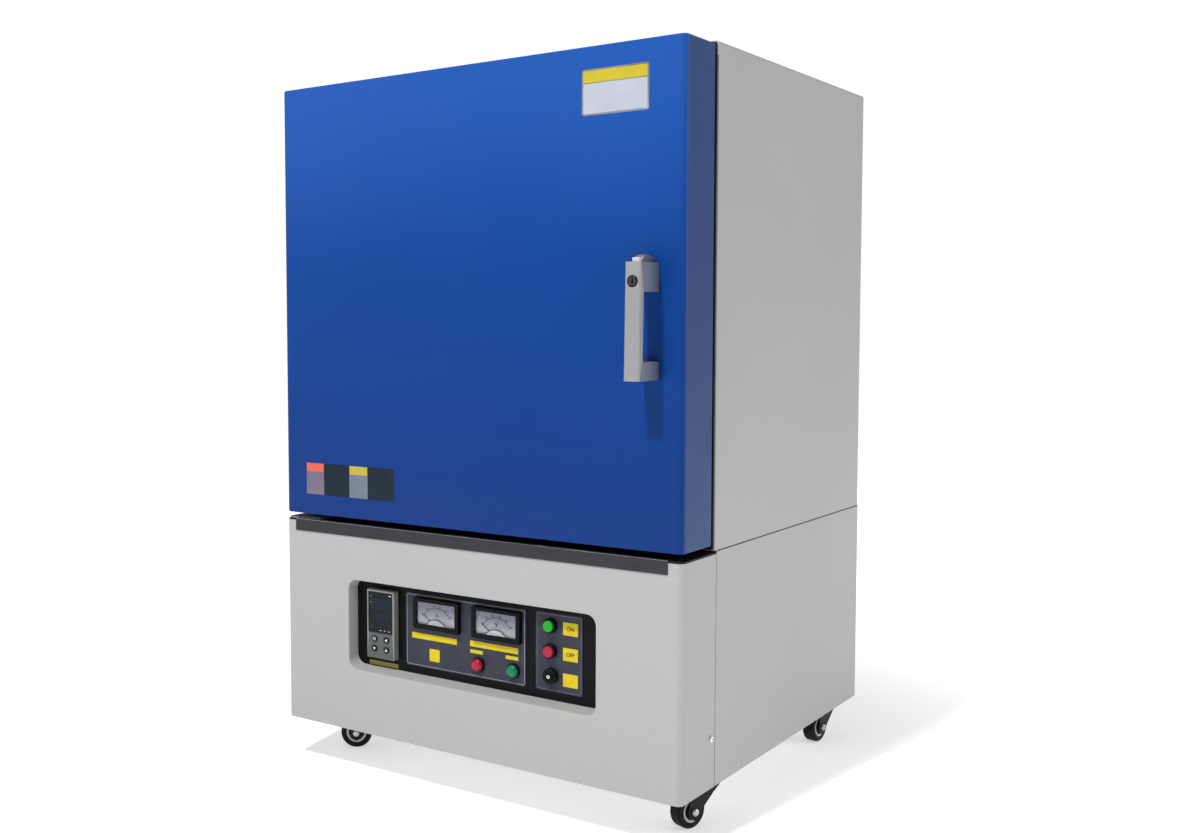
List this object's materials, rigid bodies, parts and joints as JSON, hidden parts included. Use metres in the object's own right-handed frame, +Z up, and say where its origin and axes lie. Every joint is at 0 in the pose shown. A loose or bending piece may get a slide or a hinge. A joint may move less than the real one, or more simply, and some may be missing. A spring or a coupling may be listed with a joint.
{
  "type": "box sintering furnace",
  "caption": "Box sintering furnace on swivel casters: side-hinged door with a latching pull handle above a control cabinet with a recessed instrument panel.",
  "frame": {"origin": "centre of the footprint on the floor, which is the bottom centre of the bounding box", "axes": "+Z up, the door and the control panel face -Y, +X is to the viewer's right when facing the door; the door hinge is on the -X side"},
  "size_m": [0.6344, 0.6566, 0.967],
  "materials": {
    "cabinet_paint": "semi-gloss powder coat, light orange peel",
    "door_paint": "semi-gloss powder coat, fine orange peel",
    "sill_steel": "brushed along its length",
    "zinc_steel": "zinc plated, dull",
    "stainless": "brushed",
    "fibre": "dry fibre board, matte",
    "hearth": "fired, matte",
    "element": "dark glassy oxide skin",
    "alloy": "satin",
    "sheath": "fired, matte",
    "handle_grey": "silver-grey satin paint on die-cast metal",
    "button_white": "gloss",
    "lock_dark": "satin",
    "gasket": "braided rope",
    "panel_black": "matte",
    "fascia": "printed film, satin",
    "plastic_black": "fine grain",
    "plastic_grey": "fine grain",
    "window_dark": "gloss, dark blue-black",
    "key_grey": "soft touch",
    "clear": "clear",
    "lens": "translucent, gloss",
    "green": "gloss",
    "red": "gloss",
    "chrome": "polished",
    "core": "varnished laminations",
    "heatsink": "satin",
    "gland": "fine grain",
    "fan_black": "fine grain",
    "caster_zinc": "black zinc",
    "rubber": "matte"
  },
  "bodies": {
    "cabinet": {"lower_front_panel": "cabinet_paint", "lower_side_panels": "cabinet_paint", "base_frame": "cabinet_paint", "deck_plate": "cabinet_paint", "sill_strip": "sill_steel", "lower_rear_panel": "cabinet_paint", "upper_casing": "cabinet_paint", "upper_front_frame": "stainless", "upper_rear_panel": "cabinet_paint", "inner_casing": "zinc_steel", "insulation_floor": "fibre", "insulation_walls": "fibre", "insulation_roof": "fibre", "hearth_plate": "hearth", "heating_elements": "element", "element_clamps": "alloy", "thermocouple": "sheath", "latch_striker": "zinc_steel", "hinge_brackets": "cabinet_paint", "control_panel_plate": "panel_black", "fascia_plates": "fascia", "controller_case": "plastic_grey", "controller_window": "window_dark", "meter_cases": "plastic_black", "meter_windows": "clear", "switch_and_lamp_bodies": "plastic_black", "lamp_lenses": "lens", "transformer": "core", "power_regulator": "heatsink", "cable_gland": "gland", "fan_housing": "fan_black", "caster_plates": "caster_zinc", "cabinet_screws": "chrome"},
    "door": {"door_shell": "door_paint", "door_back_panel": "stainless", "door_insulation": "fibre", "door_gasket": "gasket", "door_fittings": "zinc_steel", "handle_body": "handle_grey"},
    "handle_button_body": {"handle_button": "button_white"},
    "lock_cylinder_body": {"lock_cylinder": "lock_dark"},
    "latch_hook_body": {"latch_hook": "zinc_steel"},
    "controller_key_1_body": {"controller_key_1": "key_grey"},
    "controller_key_2_body": {"controller_key_2": "key_grey"},
    "controller_key_3_body": {"controller_key_3": "key_grey"},
    "controller_key_4_body": {"controller_key_4": "key_grey"},
    "ammeter_pointer_body": {"ammeter_pointer": "panel_black"},
    "voltmeter_pointer_body": {"voltmeter_pointer": "panel_black"},
    "on_button_body": {"on_button": "green"},
    "off_button_body": {"off_button": "red"},
    "key_switch_barrel_body": {"key_switch_barrel": "plastic_black"},
    "fan_rotor_body": {"fan_rotor": "fan_black"},
    "caster_fork_1_body": {"caster_fork_1": "caster_zinc"},
    "caster_fork_2_body": {"caster_fork_2": "caster_zinc"},
    "caster_fork_3_body": {"caster_fork_3": "caster_zinc"},
    "caster_fork_4_body": {"caster_fork_4": "caster_zinc"},
    "caster_wheel_1_body": {"caster_wheel_1": "rubber"},
    "caster_wheel_2_body": {"caster_wheel_2": "rubber"},
    "caster_wheel_3_body": {"caster_wheel_3": "rubber"},
    "caster_wheel_4_body": {"caster_wheel_4": "rubber"}
  },
  "joints": [
    {"name": "door_hinge", "type": "hinge", "parent": "cabinet", "child": "door", "pos_m": [-0.292, -0.2447, 0.362], "axis": [0, 0, -1], "range_deg": [0, 130]},
    {"name": "handle_button_press", "type": "slide", "parent": "door", "child": "handle_button_body", "axis": [0, 0, -1], "range_m": [0, 0.006], "stiffness_N_per_m": 350, "springref_m": -0.004},
    {"name": "latch_hook_swing", "type": "hinge", "parent": "door", "child": "latch_hook_body", "pos_m": [0.2723, -0.2497, 0.684], "axis": [1, 0, 0], "range_deg": [0, 6.5]},
    {"name": "lock_turn", "type": "hinge", "parent": "door", "child": "lock_cylinder_body", "pos_m": [0.2723, -0.3197, 0.68], "axis": [0, -1, 0], "range_deg": [0, 90]},
    {"name": "controller_key_1_press", "type": "slide", "parent": "cabinet", "child": "controller_key_1_body", "axis": [0, 1, 0], "range_m": [0, 0.0007], "stiffness_N_per_m": 900, "springref_m": -0.0003},
    {"name": "controller_key_2_press", "type": "slide", "parent": "cabinet", "child": "controller_key_2_body", "axis": [0, 1, 0], "range_m": [0, 0.0007], "stiffness_N_per_m": 900, "springref_m": -0.0003},
    {"name": "controller_key_3_press", "type": "slide", "parent": "cabinet", "child": "controller_key_3_body", "axis": [0, 1, 0], "range_m": [0, 0.0007], "stiffness_N_per_m": 900, "springref_m": -0.0003},
    {"name": "controller_key_4_press", "type": "slide", "parent": "cabinet", "child": "controller_key_4_body", "axis": [0, 1, 0], "range_m": [0, 0.0007], "stiffness_N_per_m": 900, "springref_m": -0.0003},
    {"name": "ammeter_pointer_swing", "type": "hinge", "parent": "cabinet", "child": "ammeter_pointer_body", "pos_m": [-0.0551, -0.2657, 0.2238], "axis": [0, 1, 0], "range_deg": [0, 110], "stiffness_Nm_per_rad": 0.0005},
    {"name": "voltmeter_pointer_swing", "type": "hinge", "parent": "cabinet", "child": "voltmeter_pointer_body", "pos_m": [0.042, -0.2657, 0.2238], "axis": [0, 1, 0], "range_deg": [0, 110], "stiffness_Nm_per_rad": 0.0005},
    {"name": "on_button_press", "type": "slide", "parent": "cabinet", "child": "on_button_body", "axis": [0, 1, 0], "range_m": [0, 0.003], "stiffness_N_per_m": 350, "springref_m": -0.002},
    {"name": "off_button_press", "type": "slide", "parent": "cabinet", "child": "off_button_body", "axis": [0, 1, 0], "range_m": [0, 0.003], "stiffness_N_per_m": 350, "springref_m": -0.002},
    {"name": "key_switch_turn", "type": "hinge", "parent": "cabinet", "child": "key_switch_barrel_body", "pos_m": [0.1249, -0.2597, 0.1864], "axis": [0, 1, 0], "range_deg": [0, 90]},
    {"name": "fan_spin", "type": "hinge", "parent": "cabinet", "child": "fan_rotor_body", "pos_m": [0.15, 0.2863, 0.214], "axis": [0, 1, 0], "continuous": true},
    {"name": "caster_1_swivel", "type": "hinge", "parent": "cabinet", "child": "caster_fork_1_body", "pos_m": [-0.2434, -0.1651, 0.054], "axis": [0, 0, 1], "continuous": true},
    {"name": "caster_1_roll", "type": "hinge", "parent": "caster_fork_1_body", "child": "caster_wheel_1_body", "pos_m": [-0.26797, -0.18231, 0.023], "axis": [0.5736, -0.8192, 0], "continuous": true},
    {"name": "caster_2_swivel", "type": "hinge", "parent": "cabinet", "child": "caster_fork_2_body", "pos_m": [0.2855, -0.1541, 0.054], "axis": [0, 0, 1], "continuous": true},
    {"name": "caster_2_roll", "type": "hinge", "parent": "caster_fork_2_body", "child": "caster_wheel_2_body", "pos_m": [0.27573, -0.18247, 0.023], "axis": [0.9455, -0.3256, 0], "continuous": true},
    {"name": "caster_3_swivel", "type": "hinge", "parent": "cabinet", "child": "caster_fork_3_body", "pos_m": [0.279, 0.2761, 0.054], "axis": [0, 0, 1], "continuous": true},
    {"name": "caster_3_roll", "type": "hinge", "parent": "caster_fork_3_body", "child": "caster_wheel_3_body", "pos_m": [0.27534, 0.24632, 0.023], "axis": [0.9925, -0.1219, 0], "continuous": true},
    {"name": "caster_4_swivel", "type": "hinge", "parent": "cabinet", "child": "caster_fork_4_body", "pos_m": [-0.262, 0.2363, 0.054], "axis": [0, 0, 1], "continuous": true},
    {"name": "caster_4_roll", "type": "hinge", "parent": "caster_fork_4_body", "child": "caster_wheel_4_body", "pos_m": [-0.277, 0.21032, 0.023], "axis": [0.866, -0.5, 0], "continuous": true}
  ],
  "couplings": [
    {"joint": "latch_hook_swing", "follows": "handle_button_press", "rad_per_m": 18.5}
  ]
}
